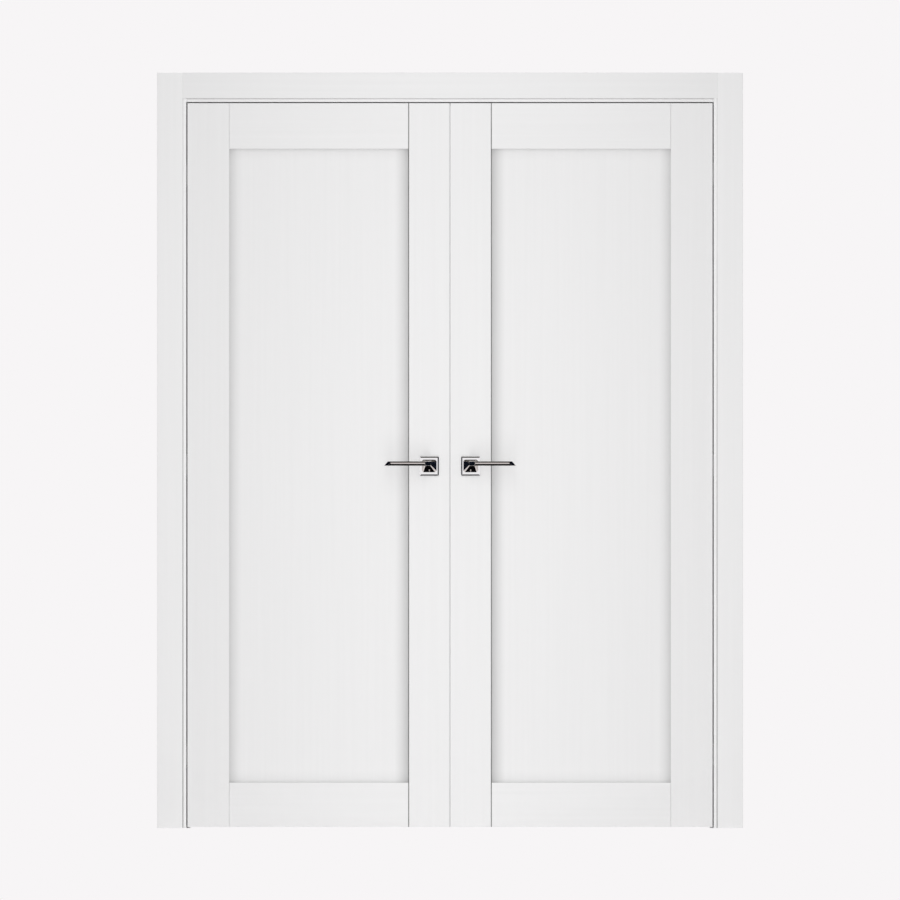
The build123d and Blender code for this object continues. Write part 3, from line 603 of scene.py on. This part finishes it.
    meeting_seal_width: FloatProperty(
        name="Meeting seal width", description="Width of the strip in the meeting gap", unit="LENGTH",
        default=5 * MM)
    meeting_seal_height: FloatProperty(
        name="Meeting seal height", description="Height of that strip", unit="LENGTH",
        default=2.4 * MM)
    meeting_seal_setback: FloatProperty(
        name="Meeting seal setback", description="Depth from the leaf's front to that strip", unit="LENGTH",
        default=3 * MM)
    grub_radius: FloatProperty(
        name="Grub screw radius", description="Radius of a lever's grub screw", unit="LENGTH",
        default=2.1 * MM)
    grub_length: FloatProperty(
        name="Grub screw length", description="Length of a lever's grub screw", unit="LENGTH",
        default=4.2 * MM)
    grub_bevel: FloatProperty(
        name="Grub screw bevel", description="Bevel round a grub screw's end", unit="LENGTH",
        default=0.3 * MM)
    grub_socket: FloatProperty(
        name="Grub socket", description="Width across the flats of a grub screw's socket", unit="LENGTH",
        default=2 * MM)
    grub_reach: FloatProperty(
        name="Grub reach", description="How far a grub screw stands out from its rose", unit="LENGTH",
        default=4.5 * MM)
    grub_drop: FloatProperty(
        name="Grub drop", description="How far a grub screw's end is below the spindle", unit="LENGTH",
        default=8.6 * MM)


class FramedDoorStage(bpy.types.PropertyGroup):
    """Light, floor and camera."""

    background: FloatVectorProperty(
        name="Background", description="Colour behind the doors", subtype="COLOR",
        default=linear("#F7F5F6"))
    floor_colour: FloatVectorProperty(
        name="Floor", description="Colour of the floor", subtype="COLOR", default=linear("#F1EFF0"))
    floor_glow: FloatProperty(
        name="Floor glow", description="Share of the background added to the floor", default=0.5)
    sky_strength: FloatProperty(
        name="Sky", description="Strength of the even light from all round", default=0.53)
    lamp_share: FloatProperty(
        name="Lamp share", description="Share of white that sets each lamp's power", default=0.85)
    lamp_distance: FloatProperty(
        name="Lamp distance", description="How far the soft lamps stand off", unit="LENGTH", default=2.0)
    lamp_middle: FloatProperty(
        name="Lamp middle", description="Height of a soft lamp's middle", unit="LENGTH", default=0.95)
    lamp_width: FloatProperty(
        name="Lamp width", description="Width of a soft lamp", unit="LENGTH", default=0.6)
    lamp_height: FloatProperty(
        name="Lamp height", description="Height of a soft lamp", unit="LENGTH", default=5.0)
    card_distance: FloatProperty(
        name="Card distance", description="How far the dark cards stand from the middle", unit="LENGTH",
        default=2.6)
    card_reach: FloatProperty(
        name="Card reach", description="How far the dark cards run to the front and rear", unit="LENGTH",
        default=3.4)
    card_top: FloatProperty(
        name="Card top", description="Height of the dark card overhead", unit="LENGTH", default=3.3)
    side_card_foot: FloatProperty(
        name="Side card foot", description="Height of the foot of the cards at the sides", unit="LENGTH",
        default=0.6)
    side_card_start: FloatProperty(
        name="Side card start", description="How far from the doors the cards at the sides begin",
        unit="LENGTH", default=1.6)
    meeting_card_reach: FloatProperty(
        name="Meeting card reach", description="How far the card between the handles stands out",
        unit="LENGTH", default=0.2)
    meeting_card_half: FloatProperty(
        name="Meeting card half height", description="Half the height of the card between the handles",
        unit="LENGTH", default=0.028)
    floor_card_half: FloatProperty(
        name="Floor card half width", description="Half the width of the card on the floor", unit="LENGTH",
        default=0.6)
    picture_size: FloatProperty(
        name="Picture size", description="Length that the square picture covers", unit="LENGTH",
        default=2.5242)
    picture_middle: FloatProperty(
        name="Picture middle", description="Height at the middle of the picture", unit="LENGTH",
        default=1.0602)
    camera_distance: FloatProperty(
        name="Camera distance", description="How far the camera stands off", unit="LENGTH", default=6.0)
    floor_size: FloatProperty(
        name="Floor size", description="Width of the square floor", unit="LENGTH", default=40.0)


# Stage

def seen_rays(tree):
    """1 for the rays of the eye, of mirrors and of glass, and 0 for diffuse light."""
    ray = add_node(tree, "ShaderNodeLightPath").outputs
    seen = ray["Is Camera Ray"]
    for kind in ("Is Glossy Ray", "Is Transmission Ray"):
        inputs = {0: seen, 1: ray[kind]}
        seen = add_node(tree, "ShaderNodeMath", inputs, operation="MAXIMUM").outputs["Value"]
    return seen


def light_world(scene, stage):
    """An even sky for diffuse light. The eye, mirrors and glass see the plain background instead."""
    world = bpy.data.worlds.new("pale_studio")
    world.use_nodes = True
    scene.world = world
    tree = world.node_tree
    tree.nodes.clear()
    sky = add_node(tree, "ShaderNodeBackground", {"Color": (1, 1, 1, 1), "Strength": stage.sky_strength})
    shown = add_node(tree, "ShaderNodeBackground", {"Color": opaque(stage.background)})
    inputs = {0: seen_rays(tree), 1: sky.outputs["Background"], 2: shown.outputs["Background"]}
    mixed = add_node(tree, "ShaderNodeMixShader", inputs)
    add_node(tree, "ShaderNodeOutputWorld", {"Surface": mixed.outputs["Shader"]})


def floor_paint(stage):
    """Matt pale paint. What the eye sees of it is raised to the background, so it ends in no horizon."""
    material, tree = empty_material("pale_floor_paint")
    paint = add_node(tree, "ShaderNodeBsdfDiffuse", {"Color": opaque(stage.floor_colour)})
    inputs = {0: seen_rays(tree), 1: stage.floor_glow}
    glow = add_node(tree, "ShaderNodeMath", inputs, operation="MULTIPLY").outputs["Value"]
    raised = add_node(tree, "ShaderNodeEmission", {"Color": opaque(stage.background), "Strength": glow})
    inputs = {0: paint.outputs["BSDF"], 1: raised.outputs["Emission"]}
    both = add_node(tree, "ShaderNodeAddShader", inputs)
    add_node(tree, "ShaderNodeOutputMaterial", {"Surface": both.outputs["Shader"]})
    return material


def pale_floor(stage):
    """A wide floor that takes the shadow of the sky, and the collection that keeps the lamps off it.

    The floor casts no shadow, so that the lamps reach the feet of the doors from below as well.
    """
    half = stage.floor_size / 2
    corners = [(-half, -half, 0), (half, -half, 0), (half, half, 0), (-half, half, 0)]
    floor = mesh_object("floor", corners, [(0, 1, 2, 3)], floor_paint(stage))
    floor.visible_shadow = False
    unlit = bpy.data.collections.new("unlit_by_lamps")
    unlit.objects.link(floor)
    unlit.collection_objects[0].light_linking.link_state = "EXCLUDE"
    return unlit


def soft_lamp(name, way, stage, unlit):
    """A tall soft lamp square on to one face of the doors, hidden from the eye and from mirrors.

    Its power is share * (pi * distance) ** 2, at which a small lamp would show a white face as that
    share of white.
    """
    lamp = bpy.data.lights.new(name, "AREA")
    lamp.shape = "RECTANGLE"
    lamp.size = stage.lamp_width
    lamp.size_y = stage.lamp_height
    lamp.energy = stage.lamp_share * (np.pi * stage.lamp_distance) ** 2
    piece = bpy.data.objects.new(name, lamp)
    piece.location = (0, way * stage.lamp_distance, stage.lamp_middle)
    piece.rotation_euler = (-way * np.pi / 2, 0, 0)
    piece.visible_camera = False
    piece.visible_glossy = False
    piece.light_linking.receiver_collection = unlit
    bpy.context.scene.collection.objects.link(piece)


def upright_card(across, spans, bottom, top):
    """The corners of an upright card at one X, four for each span of Y that it covers."""
    corners = [
        ((across, near, bottom), (across, far, bottom), (across, far, top), (across, near, top))
        for near, far in spans
    ]
    return np.array(corners).reshape(-1, 3)


def level_card(half, reach, height):
    """The corners of a level card that is centred on the doors."""
    corners = [(-half, -reach), (half, -reach), (half, reach), (-half, reach)]
    return np.column_stack([corners, np.full(len(corners), height)])


def dark_cards(stage):
    """Dark cards round the doors and between the handles, as round a metal still life.

    Only mirrors see them. The lower corners stay open, so that facets turned down and sideways catch
    the pale floor. So do the sides close to the doors, so that the outer edges of the roses stay pale.
    """
    far, reach, top = stage.card_distance, stage.card_reach, stage.card_top
    leaf_front, leaf_rear = (corner.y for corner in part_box("left_lock_stile"))
    handle = sum(corner.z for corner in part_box("left_spindle")) / 2
    beside = [(way * stage.side_card_start, way * reach) for way in FACES.values()]
    between = [
        (leaf_front, leaf_front - stage.meeting_card_reach),
        (leaf_rear, leaf_rear + stage.meeting_card_reach),
    ]
    heights = (handle - stage.meeting_card_half, handle + stage.meeting_card_half)
    cards = {
        "left_card": (SIDE_CARD_COLOUR, upright_card(-far, beside, stage.side_card_foot, top)),
        "right_card": (SIDE_CARD_COLOUR, upright_card(far, beside, stage.side_card_foot, top)),
        "meeting_card": (SIDE_CARD_COLOUR, upright_card(0, between, *heights)),
        "top_card": (TOP_CARD_COLOUR, level_card(far, reach, top)),
        "floor_card": (FLOOR_CARD_COLOUR, level_card(stage.floor_card_half, reach, MM)),
    }
    for name, (code, corners) in cards.items():
        faces = np.arange(len(corners)).reshape(-1, 4).tolist()
        card = mesh_object(name, corners, faces, plain_matt(name, linear(code)))
        card.visible_camera = False
        card.visible_diffuse = False
        card.visible_transmission = False
        card.visible_shadow = False


def front_camera(scene, stage):
    """A camera square on to the front, without perspective."""
    lens = bpy.data.cameras.new("front_camera")
    lens.type = "ORTHO"
    lens.ortho_scale = stage.picture_size
    camera = bpy.data.objects.new("front_camera", lens)
    camera.location = (0, -stage.camera_distance, stage.picture_middle)
    camera.rotation_euler = (np.pi / 2, 0, 0)
    scene.collection.objects.link(camera)
    scene.camera = camera


# Operators

class DressTimber(bpy.types.Operator):
    """Foils the leaves, the frame and the casings, with the grain along each piece"""

    bl_idname = "framed_doors.dress_timber"
    bl_label = "Foil the timber"

    def execute(self, context):
        looks = context.scene.framed_door_looks
        leaf_tones = (looks.foil_shade, looks.foil_light)
        # The frame's sides take the lighter foil, painted light against the lamps' falloff.
        painted_lit_frame_tones = (looks.painted_lit_frame_shade, looks.painted_lit_frame_light)
        # The borders paint shade near the pieces' edges.
        foils = (
            (STILES, "white_foil_stile", leaf_tones, upright, None),
            (RAILS, "white_foil_rail", leaf_tones, crosswise, rail_border),
            (PANELS, "white_foil_panel_painted_shade", leaf_tones, upright, panel_border),
            (SIDE_CASINGS, "white_foil_side_casing", painted_lit_frame_tones, upright, None),
            (SIDE_JAMBS, "white_foil_side_jamb", painted_lit_frame_tones, upright, side_jamb_border),
            (HEAD_CASINGS, "white_foil_head_casing", leaf_tones, crosswise, None),
            (HEAD_JAMB, "white_foil_head_jamb", leaf_tones, crosswise, head_jamb_border),
        )
        for nodes, name, tones, sizes_along, border in foils:
            dress(nodes, pressed_white_foil(name, looks, tones, sizes_along, border))
        return {"FINISHED"}


class LaySeals(bpy.types.Operator):
    """Lays the barbed bulb seals in the stops, and the strip in the meeting gap"""

    bl_idname = "framed_doors.lay_seals"
    bl_label = "Seal strips"

    def execute(self, context):
        looks = context.scene.framed_door_looks
        rubber = extruded_rubber("pale_seal_rubber", looks.rubber, looks)
        section = stop_seal_profile(looks)
        for node in [f"{side}_seal" for side in SIDES] + ["head_seal"]:
            path = stop_seal_path(node, looks)
            strip = closed_rings(f"{node}_strip", carried(section, *path, (0, -1, 0)), rubber)
            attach(strip, "frame")
            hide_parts(node)
        low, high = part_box("left_lock_stile")
        depth = low.y + looks.meeting_seal_setback + looks.meeting_seal_width / 2
        arc = bulb_arc(looks.meeting_seal_width, looks.meeting_seal_height)
        ends = ((high.x, depth, low.z), (high.x, depth, high.z))
        strip = closed_rings("meeting_seal_strip", carried(arc, *ends, (0, 1, 0), (1, 0, 0)), rubber)
        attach(strip, "left_leaf")
        return {"FINISHED"}


class FitHandles(bpy.types.Operator):
    """Plates the levers, roses and spindles, and sets a grub screw under each lever"""

    bl_idname = "framed_doors.fit_handles"
    bl_label = "Handles"

    def execute(self, context):
        looks = context.scene.framed_door_looks
        dress(LEVERS, polished_chrome("lever_chrome", looks.lever_chrome, looks))
        dress(ROSES, polished_chrome("rose_chrome", looks.rose_chrome, looks))
        dress(SPINDLES, tumbled_metal("spindle_zinc", looks.zinc, TUMBLED_ROUGHNESS["spindle"], looks))
        steel = tumbled_metal("grub_screw_steel", looks.steel, TUMBLED_ROUGHNESS["grub_screw"], looks)
        for side in SIDES:
            low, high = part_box(f"{side}_spindle")
            axis = (low + high) / 2
            for face, way in FACES.items():
                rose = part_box(f"{side}_{face}_rose")
                outer = rose[0].y if way < 0 else rose[1].y
                mouth = (axis.x, outer + way * looks.grub_reach, axis.z - looks.grub_drop)
                screw = closed_rings(f"{side}_{face}_grub_screw", grub_screw_rings(looks, mouth), steel)
                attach(screw, f"{side}_handle")
        return {"FINISHED"}


class DressHinges(bpy.types.Operator):
    """Plates the hinge housings, their arms and all the screws"""

    bl_idname = "framed_doors.dress_hinges"
    bl_label = "Hinges and screws"

    def execute(self, context):
        looks = context.scene.framed_door_looks
        dress(HOUSINGS, tumbled_metal("hinge_nickel", looks.nickel, TUMBLED_ROUGHNESS["hinge"], looks))
        # The arms' darker steel is painted shade for the hinge gaps.
        dress(HINGE_ARMS, brushed_steel("hinge_arm_steel", looks.shaded_arm_steel, looks))
        dress(SCREWS, tumbled_metal("screw_nickel", looks.nickel, TUMBLED_ROUGHNESS["screw"], looks))
        return {"FINISHED"}


class DressLock(bpy.types.Operator):
    """Finishes the lock, the strike and the flush bolts"""

    bl_idname = "framed_doors.dress_lock"
    bl_label = "Lock and bolts"

    def execute(self, context):
        looks = context.scene.framed_door_looks
        steel = brushed_steel("brushed_plate_steel", looks.steel, looks)
        dress(EDGE_PLATES, steel)
        dress(BOLTS, steel)
        dress(LOCK_INSIDES, tumbled_metal("lock_zinc", looks.zinc, TUMBLED_ROUGHNESS["lock"], looks))
        return {"FINISHED"}


class SetStage(bpy.types.Operator):
    """Sets the floor, the soft light, the dark cards that only metal sees, and the camera"""

    bl_idname = "framed_doors.set_stage"
    bl_label = "Stage"

    def execute(self, context):
        stage = context.scene.framed_door_stage
        context.scene.view_settings.view_transform = "Standard"
        light_world(context.scene, stage)
        unlit = pale_floor(stage)
        for face, way in FACES.items():
            soft_lamp(f"{face}_soft_lamp", way, stage, unlit)
        dark_cards(stage)
        front_camera(context.scene, stage)
        return {"FINISHED"}


class DoorsPanel(bpy.types.Panel):
    """Lists the settings and the steps"""

    bl_idname = "VIEW3D_PT_framed_doors"
    bl_label = "Framed doors"
    bl_space_type = "VIEW_3D"
    bl_region_type = "UI"
    bl_category = "Doors"

    def draw(self, context):
        for group in (context.scene.framed_door_looks, context.scene.framed_door_stage):
            box = self.layout.box()
            for setting in group.bl_rna.properties.keys():
                if setting in group.__annotations__:
                    box.prop(group, setting)
        for step in STEPS:
            self.layout.operator(step.bl_idname)


STEPS = (DressTimber, LaySeals, FitHandles, DressHinges, DressLock, SetStage)
CLASSES = (FramedDoorLooks, FramedDoorStage, *STEPS, DoorsPanel)


def register():
    """Adds the settings, the steps and the panel."""
    for cls in CLASSES:
        bpy.utils.register_class(cls)
    bpy.types.Scene.framed_door_looks = PointerProperty(type=FramedDoorLooks)
    bpy.types.Scene.framed_door_stage = PointerProperty(type=FramedDoorStage)


def unregister():
    """Takes the settings, the steps and the panel away again."""
    del bpy.types.Scene.framed_door_looks
    del bpy.types.Scene.framed_door_stage
    for cls in reversed(CLASSES):
        bpy.utils.unregister_class(cls)


def main():
    """Runs each step in turn."""
    register()
    bpy.ops.framed_doors.dress_timber()
    bpy.ops.framed_doors.lay_seals()
    bpy.ops.framed_doors.fit_handles()
    bpy.ops.framed_doors.dress_hinges()
    bpy.ops.framed_doors.dress_lock()
    bpy.ops.framed_doors.set_stage()


if __name__ == "__main__":
    main()
